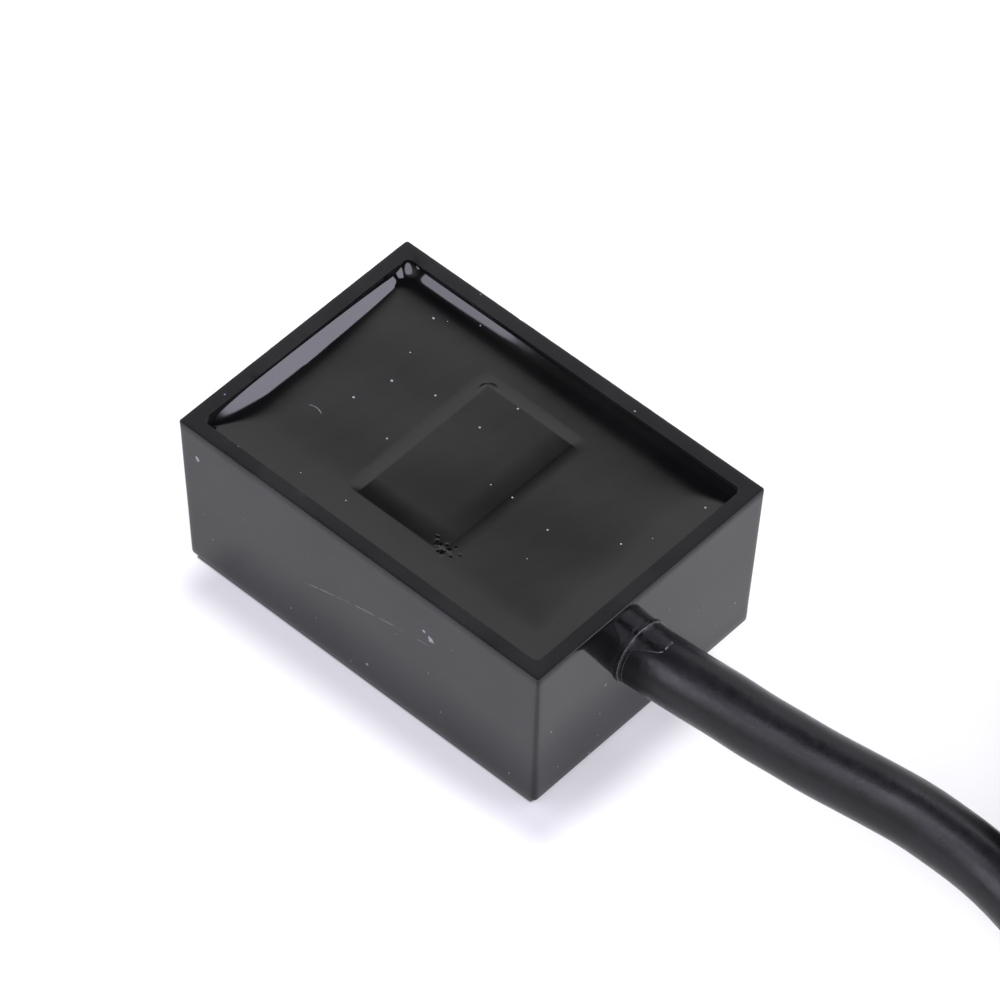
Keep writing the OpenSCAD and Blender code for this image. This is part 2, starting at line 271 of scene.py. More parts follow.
def rounded_block(size, bevel, segments=3):
    """A bmesh box with rounded edges, centred on its origin."""
    bm = bmesh.new()
    bmesh.ops.create_cube(bm, size=1)
    bmesh.ops.scale(bm, vec=size, verts=bm.verts)
    bmesh.ops.bevel(
        bm, geom=list(bm.edges), offset=bevel, segments=segments, affect="EDGES", profile=0.5
    )
    return bm


def tie_head():
    """The locking head: a rounded block with a shallow pocket in its top."""
    head = rounded_block(HEAD_SIZE, HEAD_BEVEL)
    top = max(head.faces, key=lambda f: f.calc_center_median().z)
    bmesh.ops.inset_region(head, faces=[top], thickness=0.35)
    bmesh.ops.translate(head, verts=top.verts, vec=(0, 0, -0.5))
    head.verts.ensure_lookup_table()
    return head


def tie_parts():
    verts, faces = [], []
    half, chamfer = TIE_W / 2, TIE_CHAMFER
    inner, outer = CABLE_D / 2, CABLE_D / 2 + TIE_T
    section = [
        (inner, half - chamfer), (inner + chamfer, half), (outer - chamfer, half),
        (outer, half - chamfer), (outer - TIE_DISH, half - 0.5), (outer - TIE_DISH, 0.5 - half),
        (outer, chamfer - half), (outer - chamfer, -half), (inner + chamfer, -half),
        (inner, chamfer - half),
    ]
    n = len(section)
    for angle in TIE_ANGLES:
        first = len(verts)
        for step in range(TIE_STEPS):
            for reach, across in section:
                r, z = tie_outline(reach)[step]
                verts.append(tie_place(angle, r, z, across))
        for step in range(TIE_STEPS):
            for s in range(n):
                p = first + step * n + s
                q = first + step * n + (s + 1) % n
                p2 = first + (step + 1) % TIE_STEPS * n + s
                q2 = first + (step + 1) % TIE_STEPS * n + (s + 1) % n
                faces.append((p, p2, q2, q))
        head = tie_head()
        first = len(verts)
        for v in head.verts:
            verts.append(tie_place(angle, HEAD_AT[0] + v.co.x, HEAD_AT[1] + v.co.z, v.co.y))
        faces += [[first + v.index for v in f.verts] for f in head.faces]
        head.free()
    return verts, faces


ties = add_mesh("nylon_ties", *tie_parts(), slot="tie_nylon", replaces=("cable_ties",))
shade(ties, 40)


# ---------------------------------------------------------------- housing
BODY_L, BODY_W, BODY_H = 28.0, 19.3, 12.1
WALL = 1.0
FLOOR_Z = 1.25
PAD_T = 0.25
DRAFT = 0.3
EDGE_R, BASE_R = 0.2, 0.36
# How much smaller the corners' radius is on the flat of the base.
BASE_LESS_R = 0.2
CAVITY_R = 0.4
RIM_ROUND, LIP_ROUND = 0.06, 0.05
SIDE_LEVELS = 22
SEAL_T = 0.12
DRILL_X, DRILL_L = 13.6, 3
SIDE_STEPS = (84, 58)
CORNER_STEPS = 8


def rounded_loop(half_x, half_y, r, z):
    """Points of a level rounded rectangle, counter-clockwise, always the same number."""
    points = []
    centres = [(1, 1, 0), (-1, 1, 90), (-1, -1, 180), (1, -1, 270)]
    for i, (sx, sy, start) in enumerate(centres):
        cx, cy = sx * (half_x - r), sy * (half_y - r)
        for s in range(CORNER_STEPS + 1):
            a = math.radians(start + 90 * s / CORNER_STEPS)
            points.append((cx + r * math.cos(a), cy + r * math.sin(a), z))
        nsx, nsy, nstart = centres[(i + 1) % 4]
        a = math.radians(nstart)
        end = (nsx * (half_x - r) + r * math.cos(a), nsy * (half_y - r) + r * math.sin(a))
        begin = points[-1]
        steps = SIDE_STEPS[i % 2]
        for s in range(1, steps):
            t = s / steps
            points.append(
                (begin[0] + (end[0] - begin[0]) * t, begin[1] + (end[1] - begin[1]) * t, z)
            )
    return points


def housing_levels():
    """(inset from the rim's outline, corner radius, height) from the base, up, over and down inside."""
    levels = []
    for a in range(0, 91, 15):
        s, c = math.sin(math.radians(a)), math.cos(math.radians(a))
        levels.append((DRAFT + BASE_R * (1 - s), BASE_R - BASE_LESS_R * (1 - s), PAD_T + BASE_R * (1 - c)))
    side_top = BODY_H - RIM_ROUND
    low = PAD_T + BASE_R
    for k in range(1, SIDE_LEVELS + 1):
        t = k / SIDE_LEVELS
        levels.append(
            (DRAFT * (1 - t), BASE_R + (EDGE_R - BASE_R) * t, low + (side_top - low) * t)
        )
    for a in (30, 60, 90):
        s, c = math.sin(math.radians(a)), math.cos(math.radians(a))
        levels.append((RIM_ROUND * (1 - c), EDGE_R, side_top + RIM_ROUND * s))
    for t in (0.25, 0.5, 0.75):
        levels.append((RIM_ROUND + t * (WALL - RIM_ROUND - LIP_ROUND), EDGE_R, BODY_H))
    for a in (90, 60, 30, 0):
        s, c = math.sin(math.radians(a)), math.cos(math.radians(a))
        levels.append((WALL - LIP_ROUND * c, CAVITY_R, BODY_H - LIP_ROUND + LIP_ROUND * s))
    for z in (11.6, 11.0, 9.0, 7.0, 5.0, 3.0, FLOOR_Z):
        levels.append((WALL, CAVITY_R, z))
    return levels


def nick(p, inner):
    """How far the moulding is worn or chipped back at a point near the rim's edges."""
    at = Vector(p) * (1.3 if inner else 0.9)
    rough = noise.noise(at * 3.1 + Vector((7, 3, 1)))
    deep = max(0.0, noise.noise(at * 1.1 + Vector((3, 9, 2))) - 0.38)
    return 0.012 * rough + (0.16 if inner else 0.10) * deep


def worn(x, y, z, inset):
    """A point of the perfect shell, moved by slight waves in the walls and nicks in the rim."""
    out = Vector((x, y, 0)).normalized()
    if 1.2 < z < 11.6 and inset < 0.5:
        wave = 0.010 * noise.noise(Vector((x, y, z)) * 0.22) - 0.006
        x, y = x + out.x * wave, y + out.y * wave
    if z > BODY_H - 0.07 and inset < 0.08:
        cut = abs(nick((x, y, z), False))
        x, y, z = x - out.x * cut, y - out.y * cut, z - cut * 0.7
    if z > BODY_H - 0.06 and inset > 0.8:
        cut = abs(nick((x, y, z), True))
        x, y, z = x + out.x * cut * 0.6, y + out.y * cut * 0.6, z - cut * 0.8
    return x, y, z


def whole_shell():
    """The housing's mesh before the cable's hole is cut."""
    levels = housing_levels()
    verts = [
        worn(*point, inset) for inset, r, z in levels
        for point in rounded_loop(BODY_L / 2 - inset, BODY_W / 2 - inset, r, z)
    ]
    faces = []
    n = len(verts) // len(levels)
    for level in range(len(levels) - 1):
        for k in range(n):
            p, q = level * n + k, level * n + (k + 1) % n
            faces.append((p, q, q + n, p + n))
    faces.append(list(reversed(range(n))))
    last = (len(levels) - 1) * n
    faces.append([last + k for k in range(n)])
    mesh = bpy.data.meshes.new("whole_housing")
    mesh.from_pydata([tuple(c * MM for c in v) for v in verts], [], faces)
    return mesh


def cable_drill():
    """A rod as thick as the cable with its sealant, through the end wall."""
    r = (CABLE_D / 2 + SEAL_T) * MM
    bm = bmesh.new()
    bmesh.ops.create_cone(
        bm, cap_ends=True, segments=64, depth=DRILL_L * MM, radius1=r, radius2=r,
        matrix=Matrix.Translation(Vector((DRILL_X, EXIT[1], EXIT[2])) * MM)
        @ Matrix.Rotation(math.pi / 2, 4, "Y"),
    )
    mesh = bpy.data.meshes.new("drill")
    bm.to_mesh(mesh)
    bm.free()
    return mesh


def make_housing():
    body, drill = (bpy.data.objects.new(mesh.name, mesh) for mesh in (whole_shell(), cable_drill()))
    for temporary in (body, drill):
        scene.collection.objects.link(temporary)
    cut = body.modifiers.new("hole", "BOOLEAN")
    cut.operation, cut.solver, cut.object = "DIFFERENCE", "EXACT", drill
    bpy.context.view_layer.update()
    done = body.evaluated_get(bpy.context.evaluated_depsgraph_get())
    mesh = bpy.data.meshes.new_from_object(done)
    mesh.name = "housing_shell"
    for temporary in (body, drill):
        bpy.data.objects.remove(temporary)
    return add_piece("housing_shell", mesh, replaces=("housing",))


housing = make_housing()
shade(housing, 38)


# ---------------------------------------------------------------- resin
RESIN_Z = 11.2
CAVITY_X, CAVITY_Y = BODY_L / 2 - WALL, BODY_W / 2 - WALL
CORE_Y = -0.4
BLOCK_X, BLOCK_Y = 3.3, 5.5
BLOCK_RISE = 0.11
DRAPE = 0.85
PEG_X, PEG_Y, PEG_R = -3.0, 4.8, 0.55
# How the resin is drawn up each wall: slope at the wall, reach, and how sharply it levels out.
LEFT_CLIMB = (0.57, 1.04, 5)
BACK_CLIMB_LEFT, BACK_CLIMB_RIGHT = (0.62, 0.78, 4), (0.50, 0.90, 4)
FRONT_CLIMB = ((0.09, 1.8, 3.5), (0.9, 0.10, 5))
RIGHT_CLIMB = ((0.08, 1.8, 3.5), (0.6, 0.10, 5))
# No meniscus passes CLIMB_TOP. It nears that height the more abruptly the larger CLIMB_CRISP is.
CLIMB_TOP, CLIMB_CRISP = 0.88, 25
WALL_BLEND = 3.0
CORNER_RISE, CORNER_REACH = 0.31, 0.95
# Small bubbles and crumbs at one corner of the block: place, size and height.
FLAWS = [
    (3.15, -5.75, 0.10, 0.06), (2.85, -5.60, 0.08, -0.06), (3.45, -5.55, 0.09, -0.05),
    (2.95, -5.95, 0.07, 0.04), (3.30, -6.05, 0.08, -0.04), (2.45, -5.45, 0.06, 0.05),
    (2.30, -5.20, 0.05, 0.03), (3.75, -5.75, 0.06, 0.03), (3.60, -5.15, 0.05, -0.03),
    (2.60, -5.75, 0.05, -0.04), (3.05, -5.30, 0.06, 0.03), (4.10, -5.35, 0.05, 0.02),
]


def graded(stops):
    """Grid lines from (start, step) pairs. The last pair's start is the end."""
    lines = []
    for (start, step), (end, _) in zip(stops, stops[1:]):
        count = max(1, round((end - start) / step))
        lines += [start + (end - start) * k / count for k in range(count)]
    return np.array(lines + [stops[-1][0]])


def climb(distance, slope, reach, power):
    """Height of resin drawn up a wall: an even slope near it, then levelling out after reach."""
    u = np.linspace(0, 30, 3001)
    steep = slope / (1 + (u / reach) ** power)
    rise = np.concatenate([[0], np.cumsum((steep[1:] + steep[:-1]) / 2 * (u[1] - u[0]))])
    return np.interp(distance, u, rise[-1] - rise)


def block_height(x, y):
    """Share of the full rise where the resin drapes over the sensing element."""
    yc = y - CORE_Y
    left = np.clip((x + BLOCK_X + DRAPE) / DRAPE, 0, 1) ** 1.5
    roll = 0.55 * np.clip((x - 1.6) / (BLOCK_X - 1.7), 0, 1) ** 2
    fall = np.clip((BLOCK_X + 0.8 - x) / 0.9, 0, 1) ** 2.2
    right = np.where(x < BLOCK_X - 0.1, 1 - roll, 0.45 * fall)
    back = np.clip((BLOCK_Y + DRAPE - yc) / DRAPE, 0, 1) ** 1.8
    front = 1 - (1 - np.clip((yc + BLOCK_Y + 0.05) / 1.5, 0, 1)) ** 2
    diagonal = 0.5 * smooth_array(-0.3, 1.2, (x / BLOCK_X - yc / BLOCK_Y) / 2)
    top = left * right * back * front * (1 - diagonal)
    # Half a groove round the peg, on the side away from the block.
    px, py = x - PEG_X, y - PEG_Y
    groove = 0.35 * np.exp(-((np.hypot(px, py) - PEG_R) / 0.07) ** 2)
    return top - groove * smooth_array(-0.3, 0.3, py - px)


def resin_height(x, y):
    to_left, to_right = x + CAVITY_X, CAVITY_X - x
    to_front, to_back = y + CAVITY_Y, CAVITY_Y - y
    # The meniscus on the left wall narrows toward both of its ends.
    from_front = np.sin(np.pi / 2 * np.clip(to_front / 4.5, 0, 1)) ** 0.6
    from_back = np.clip((8.4 - y) / 9.5, 0, 1) ** 0.36
    wide = np.clip(np.minimum(from_front, np.maximum(from_back, 0.5)), 0.08, 1)
    left = wide * climb(to_left / wide, *LEFT_CLIMB) * (1 - 0.30 * smooth_array(6.4, 8.4, y))
    share = 1 - smooth_array(-12, 4, x)
    back = climb(to_back, *BACK_CLIMB_LEFT) * share + climb(to_back, *BACK_CLIMB_RIGHT) * (1 - share)
    front = sum(climb(to_front, *part) for part in FRONT_CLIMB)
    right = sum(climb(to_right, *part) for part in RIGHT_CLIMB)
    walls = sum(side ** WALL_BLEND for side in (left, back, front, right)) ** (1 / WALL_BLEND)
    # The left and back menisci meet in a steep little facet at the corner.
    walls += CORNER_RISE * np.exp(-(np.hypot(to_left, to_back) / CORNER_REACH) ** 3)
    walls = CLIMB_TOP - np.log1p(np.exp((CLIMB_TOP - walls) * CLIMB_CRISP)) / CLIMB_CRISP
    # The cured surface is nearly flat, with a slow sway and a little ripple.
    sway = 0.006 * np.sin(0.55 * x + 0.3 * y + 0.8) + 0.005 * np.sin(0.9 * y - 0.25 * x + 2.1)
    sway += 0.0008 * np.sin(2.3 * x + 1.1 * y) * np.sin(1.7 * y - 0.6 * x)
    flaw = np.zeros_like(x)
    for fx, fy, wide, high in FLAWS:
        flaw += high * np.exp(-((x - fx) ** 2 + (y - fy) ** 2) / wide ** 2)
    return RESIN_Z + walls + BLOCK_RISE * block_height(x, y) + sway + flaw


def make_resin():
    xs = graded([
        (-CAVITY_X, 0.07), (-10.4, 0.25), (-4.1, 0.06), (-2.4, 0.14), (2.3, 0.05), (3.8, 0.1),
        (4.8, 0.25), (11.8, 0.1), (12.7, 0.03), (CAVITY_X, 1),
    ])
    ys = graded([
        (-CAVITY_Y, 0.03), (-8.3, 0.1), (-6.4, 0.05), (-5.0, 0.14), (4.0, 0.06), (5.9, 0.1),
        (6.6, 0.06), (CAVITY_Y, 1),
    ])
    gx, gy = np.meshgrid(xs, ys, indexing="ij")
    gz = resin_height(gx, gy)
    nx, ny = len(xs), len(ys)
    verts = np.stack([gx, gy, gz], -1).reshape(-1, 3).tolist()
    faces = [
        (i * ny + j, (i + 1) * ny + j, (i + 1) * ny + j + 1, i * ny + j + 1)
        for i in range(nx - 1) for j in range(ny - 1)
    ]
    edge = [i * ny for i in range(nx)]
    edge += [(nx - 1) * ny + j for j in range(1, ny)]
    edge += [i * ny + ny - 1 for i in range(nx - 2, -1, -1)]
    edge += [j for j in range(ny - 2, 0, -1)]
    first = len(verts)
    verts += [[verts[k][0], verts[k][1], FLOOR_Z] for k in edge]
    count = len(edge)
    for k in range(count):
        m = (k + 1) % count
        faces.append((edge[m], edge[k], first + k, first + m))
    faces.append([first + k for k in reversed(range(count))])
    return add_mesh("resin_fill", verts, faces, slot="resin", replaces=("potting_resin",))


resin = make_resin()
shade(resin, 50)


# ---------------------------------------------------------------- sealant at the cable's exit
def sealant_reach(side, up, degrees):
    """How far the film runs out along the cable: far on its upper back, a little elsewhere."""
    turned = (degrees + 60) % 360
    long = 0.30 + 1.6 * smooth(20, 50, turned) * (1 - smooth(165, 215, turned))
    wobble = noise.noise(Vector((side * 2.2, up * 2.2, 4)))
    return long + 0.10 * wobble * (1 if long > 1 else 0.5)


def sealant_section(long):
    """The film's (x, radius, dust) points, from inside the wall to its end on the cable."""
    start, face, along = 13.0, EXIT[0], 40
    skin, collar = CABLE_D / 2 + 0.001, CABLE_D / 2 + SEAL_T
    section = [(start, skin, 0), (start, collar, 0), (face, collar, 0)]
    for s in range(along):
        t = s / (along - 1)
        film = 0.02 + 0.05 * math.exp(-t * long / 0.08)
        film += 0.008 * math.exp(-((1 - t) * long / 0.10) ** 2)
        film *= 1 - smooth(0.93, 1.0, t) * 0.9
        line = 0.8 * math.exp(-(t * long / 0.05) ** 2)
        line += math.exp(-((1 - t) * long / 0.06) ** 2) * smooth(1.3, 1.7, long)
        section.append((face + 0.01 + t * long, CABLE_D / 2 + film, min(1, line)))
    section.append((face + long, skin, 0))
    return section


def make_sealant():
    """A thin film of cured sealant on the cable, with dust along its edges."""
    verts, faces, dust = [], [], []
    around = 96
    for k in range(around):
        a = 2 * math.pi * k / around
        side, up = math.sin(a), math.cos(a)
        section = sealant_section(sealant_reach(side, up, math.degrees(a) % 360))
        for x, r, d in section:
            verts.append((x, EXIT[1] + r * side, EXIT[2] + r * up))
            dust.append(d)
    n = len(section)
    for k in range(around):
        for s in range(n):
            p, q = k * n + s, k * n + (s + 1) % n
            p2, q2 = (k + 1) % around * n + s, (k + 1) % around * n + (s + 1) % n
            faces.append((p, p2, q2, q))
    obj = add_mesh("exit_sealant", verts, faces, slot="sealant", replaces=("entry_sealant",))
    layer = obj.data.attributes.new("dust", "FLOAT", "POINT")
    layer.data.foreach_set("value", dust)
    return obj


sealant = make_sealant()
shade(sealant, 60)


# ---------------------------------------------------------------- materials
class Graph:
    """A material or world node tree. Sizes in it are in millimetres."""

    def __init__(self, owner):
        owner.use_nodes = True
        self.tree = owner.node_tree
        self.tree.nodes.clear()

    def add(self, kind, settings=None, **inputs):
        node = self.tree.nodes.new("ShaderNode" + kind)
        for key, value in (settings or {}).items():
            setattr(node, key, value)
        for key, value in inputs.items():
            self.put(node.inputs[key.replace("_", " ")], value)
        return node

    def put(self, socket, value):
        if isinstance(value, bpy.types.NodeSocket):
            self.tree.links.new(value, socket)
        else:
            socket.default_value = value

    def math(self, operation, *values, clamp=False):
        node = self.tree.nodes.new("ShaderNodeMath")
        node.operation = operation
        node.use_clamp = clamp
        for socket, value in zip(node.inputs, values):
            self.put(socket, value)
        return node.outputs[0]

    def vector(self, operation, *values):
        node = self.tree.nodes.new("ShaderNodeVectorMath")
        node.operation = operation
        for socket, value in zip(node.inputs, values):
            self.put(socket, value)
        return node.outputs["Value" if operation in ("DOT_PRODUCT", "DISTANCE", "LENGTH") else "Vector"]

    def step(self, value, low, high, to_low=0.0, to_high=1.0, kind="SMOOTHSTEP"):
        node = self.tree.nodes.new("ShaderNodeMapRange")
        node.interpolation_type = kind
        for socket, v in zip(node.inputs, (value, low, high, to_low, to_high)):
            self.put(socket, v)
        return node.outputs[0]

    def mix(self, factor, a, b):
        node = self.tree.nodes.new("ShaderNodeMix")
        node.data_type = "RGBA"
        for index, value in ((0, factor), (6, a), (7, b)):
            self.put(node.inputs[index], value)
        return node.outputs[2]

    def place(self, stretch=(1, 1, 1)):
        coords = self.add("TexCoord").outputs["Object"]
        node = self.tree.nodes.new("ShaderNodeMapping")
        node.inputs["Scale"].default_value = [1000 * s for s in stretch]
        self.put(node.inputs["Vector"], coords)
        return node.outputs[0]

    def noise(self, at, size, detail=3.0, rough=0.5):
        node = self.add("TexNoise", None, Vector=at, Scale=1 / size, Detail=detail, Roughness=rough)
        return node.outputs[0]

    def specks(self, at, spacing, radius, share):
        """Spots up to radius across in a share of the cells of a random mesh of that spacing."""
        node = self.add("TexVoronoi", None, Vector=at, Scale=1 / spacing)
        chance = self.add("SeparateColor", None, Color=node.outputs["Color"])
        here = self.math("LESS_THAN", chance.outputs[0], share)
        size = self.math("MULTIPLY", chance.outputs[1], radius / spacing)
        spot = self.math("LESS_THAN", node.outputs["Distance"], size)
        return self.math("MULTIPLY", here, spot)


def colour(r, g=None, b=None):
    return (r, r if g is None else g, r if b is None else b, 1)


def finish_shader(g, base, rough, bumps=(), metallic=0.0, ior=1.5, **extra):
    """The Principled shader with a chain of bumps, each a (height, distance in mm) pair."""
    shader = g.add("BsdfPrincipled")
    g.put(shader.inputs["Base Color"], base)
    g.put(shader.inputs["Roughness"], rough)
    shader.inputs["Metallic"].default_value = metallic
    shader.inputs["IOR"].default_value = ior
    for key, value in extra.items():
        shader.inputs[key.replace("_", " ")].default_value = value
    normal = None
    for height, distance in bumps:
        bump = g.add("Bump", None, Strength=1.0, Distance=distance * MM, Height=height)
        if normal:
            g.put(bump.inputs["Normal"], normal)
        normal = bump.outputs[0]
    if normal:
        g.put(shader.inputs["Normal"], normal)
    out = g.add("OutputMaterial")
    g.put(out.inputs["Surface"], shader.outputs[0])
    return shader


def plain_material(name, dark, light, rough, size, grain, depth, dust=0.0, metallic=0.0, **extra):
    """Two close colours, uneven gloss, a fine grain and a little dust."""
    mat = bpy.data.materials.new(name)
    g = Graph(mat)
    at = g.place()
    cloud = g.noise(at, size, 4)
    base = g.mix(g.step(cloud, 0.35, 0.65), colour(*dark), colour(*light))
    gloss = g.step(g.noise(at, size * 0.4, 3), 0.3, 0.7, rough[0], rough[1])
    if dust:
        spots = g.specks(at, 1.3, 0.07, dust)
        base = g.mix(g.math("MULTIPLY", spots, 0.8), base, colour(0.42, 0.42, 0.44))
        gloss = g.math("ADD", gloss, g.math("MULTIPLY", spots, 0.4))
    finish_shader(g, base, gloss, [(g.noise(at, grain, 2), depth)], metallic, **extra)
    return mat


# Chips on the front wall: middle and size.
CHIPS = (((5.8, -9.6, 8.75), 0.42), ((5.25, -9.6, 9.1), 0.30), ((-12.55, -9.6, 9.8), 0.36))
# A long scratch on the same wall: z = SCRATCH_Z + SCRATCH_SLOPE * x - SCRATCH_BEND * x * x.
SCRATCH_Z, SCRATCH_SLOPE, SCRATCH_BEND = 6.85, 0.28, 0.012
# A piece of lint lies on the resin along an arc.
LINT_MIDDLE, LINT_R, LINT_FROM_Y = (-9.4, -3.75, 0), 0.85, -3.1
MARK_COLOUR = (0.26, 0.26, 0.31)


def housing_material():
    mat = bpy.data.materials.new("moulded_black")
    g = Graph(mat)
    at = g.place()
    split = g.add("SeparateXYZ", None, Vector=at)
    x, y, z = split.outputs
    cloud = g.step(g.noise(at, 5, 4), 0.35, 0.65)
    base = g.mix(cloud, colour(0.003, 0.003, 0.0033), colour(0.006, 0.006, 0.0065))
    rough = g.step(g.noise(at, 3, 4), 0.3, 0.7, 0.05, 0.09)
    on_rim = g.step(z, 12.03, 12.07)
    rough = g.math("ADD", rough, g.math("MULTIPLY", on_rim, 0.26))
    spots = g.math("ADD", g.specks(at, 0.9, 0.09, 0.40), g.specks(at, 2.1, 0.17, 0.40))
    front = g.step(y, -9.2, -9.4)
    bend = g.math("MULTIPLY", g.math("MULTIPLY", x, x), SCRATCH_BEND)
    line = g.math("SUBTRACT", g.math("SUBTRACT", z, g.math("MULTIPLY", x, SCRATCH_SLOPE)), SCRATCH_Z)
    line = g.math("ABSOLUTE", g.math("ADD", line, bend))
    broken = g.step(g.noise(g.place((1, 0.2, 0.2)), 0.8, 3), 0.42, 0.60)
    span = g.math("MULTIPLY", g.step(x, -5.2, -3.5), g.step(x, 6.0, 4.8))
    scratch = g.math("MULTIPLY", g.math("MULTIPLY", g.step(line, 0.05, 0.02), span), broken)
    scratch = g.math("MULTIPLY", scratch, front)
    marks = g.math("MULTIPLY", scratch, 0.5)
    ragged = g.math("MULTIPLY", g.noise(at, 0.25, 3), 0.35)
    for middle, size in CHIPS:
        away = g.vector("DISTANCE", at, middle)
        chip = g.step(g.math("ADD", away, ragged), size, size - 0.06)
        marks = g.math("MAXIMUM", marks, g.math("MULTIPLY", chip, front))
    fine = g.place((1, 1, 0.12))
    hair = g.step(g.noise(fine, 0.06, 2), 0.70, 0.78)
    hair = g.math("MULTIPLY", hair, g.step(g.noise(at, 4, 2), 0.5, 0.62))
    marks = g.math("MAXIMUM", marks, g.math("MULTIPLY", spots, 0.8), clamp=True)
    base = g.mix(g.math("MULTIPLY", marks, 0.7), base, colour(*MARK_COLOUR))
    base = g.mix(g.math("MULTIPLY", hair, 0.10), base, colour(0.30))
    rough = g.math("ADD", rough, g.math("MULTIPLY", marks, 0.25))
    bumps = [(g.noise(at, 0.9, 3), 0.003), (g.noise(at, 0.12, 2), 0.0012), (marks, 0.02)]
    finish_shader(g, base, rough, bumps, ior=1.365)
    return mat


def resin_material():
    mat = bpy.data.materials.new("cured_epoxy")
    g = Graph(mat)
    at = g.place()
    base = g.mix(g.step(g.noise(at, 6, 3), 0.35, 0.65), colour(0.0012, 0.0012, 0.0014), colour(0.0025))
    rough = g.step(g.noise(at, 2.5, 4), 0.3, 0.7, 0.04, 0.09)
    spots = g.math("ADD", g.specks(at, 0.85, 0.08, 0.30), g.specks(at, 2.0, 0.11, 0.40))
    spots = g.math("MINIMUM", spots, 1.0)
    from_lint = g.vector("DISTANCE", g.vector("MULTIPLY", at, (1, 1, 0)), LINT_MIDDLE)
    off_lint = g.math("ABSOLUTE", g.math("SUBTRACT", from_lint, LINT_R))
    y = g.add("SeparateXYZ", None, Vector=at).outputs[1]
    lint = g.math("MULTIPLY", g.step(off_lint, 0.04, 0.015), g.step(y, LINT_FROM_Y, LINT_FROM_Y + 0.08))
    spots = g.math("MAXIMUM", spots, g.math("MULTIPLY", lint, 0.4))
    base = g.mix(g.math("MULTIPLY", spots, 0.8), base, colour(0.26, 0.27, 0.29))
    rough = g.math("ADD", rough, g.math("MULTIPLY", spots, 0.35))
    ripple = g.noise(g.place((1, 0.35, 1)), 0.35, 2)
    bumps = [(g.noise(at, 1.6, 2), 0.002), (ripple, 0.0006), (spots, 0.03)]
    finish_shader(g, base, rough, bumps)
    return mat


def jacket_material():
    mat = bpy.data.materials.new("pvc_jacket")
    g = Graph(mat)
    at = g.place()
    cloud = g.step(g.noise(at, 4, 4), 0.35, 0.65)
    base = g.mix(cloud, colour(0.003, 0.003, 0.0035), colour(0.006, 0.006, 0.007))
    rough = g.step(g.noise(at, 0.7, 4, 0.65), 0.3, 0.7, 0.27, 0.36)
    spots = g.specks(at, 1.7, 0.06, 0.08)
    base = g.mix(g.math("MULTIPLY", spots, 0.5), base, colour(0.25))
    bumps = [(g.noise(at, 0.45, 4, 0.6), 0.014), (g.noise(at, 0.08, 2), 0.003)]
    finish_shader(g, base, rough, bumps, ior=1.37)
    return mat


def sealant_material():
    mat = bpy.data.materials.new("cured_sealant")
    g = Graph(mat)
    at = g.place()
    dust = g.add("Attribute", {"attribute_name": "dust"}).outputs["Fac"]
    grit = g.math("MULTIPLY", dust, g.step(g.noise(at, 0.22, 3), 0.38, 0.62))
    base = g.mix(g.step(g.noise(at, 0.8, 3), 0.4, 0.6), colour(0.003), colour(0.006, 0.006, 0.0065))
    base = g.mix(g.math("MULTIPLY", grit, 0.6), base, colour(0.13, 0.13, 0.12))
    rough = g.math("ADD", g.step(g.noise(at, 0.5, 3), 0.3, 0.7, 0.12, 0.3), g.math("MULTIPLY", grit, 0.4))
    finish_shader(g, base, rough, [(g.noise(at, 0.3, 3), 0.015), (grit, 0.03)])
    return mat


def board_material():
    """Green mask over copper: slightly raised tracks show as lighter lines."""
    mat = bpy.data.materials.new("solder_mask")
    g = Graph(mat)
    at = g.place()
    weave = g.add("TexWave", None, Vector=at, Scale=0.35, Distortion=3.0, Detail=1.0).outputs[0]
    tracks = g.step(weave, 0.72, 0.78)
    base = g.mix(g.noise(at, 3, 3), colour(0.020, 0.11, 0.05), colour(0.03, 0.15, 0.07))
    base = g.mix(tracks, base, colour(0.06, 0.26, 0.12))
    finish_shader(g, base, g.step(g.noise(at, 1, 3), 0.3, 0.7, 0.25, 0.4), [(tracks, 0.03)])
    return mat


def winding_material():
    """Enamelled wire: fine ribs round the spool."""
    mat = bpy.data.materials.new("enamelled_wire")
    g = Graph(mat)
    at = g.place()
    ribs = g.add("TexWave", {"bands_direction": "Z"}, Vector=at, Scale=3.2, Distortion=0.4).outputs[0]
    base = g.mix(ribs, colour(0.22, 0.07, 0.025), colour(0.62, 0.26, 0.10))
    finish_shader(g, base, g.step(g.noise(at, 0.7, 3), 0.3, 0.7, 0.2, 0.4), [(ribs, 0.04)], metallic=1.0)
    return mat


def assign(names, mat):
    for name in names:
        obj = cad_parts.get(name) or bpy.data.objects[name]
        obj.data.materials.clear()
        obj.data.materials.append(mat)


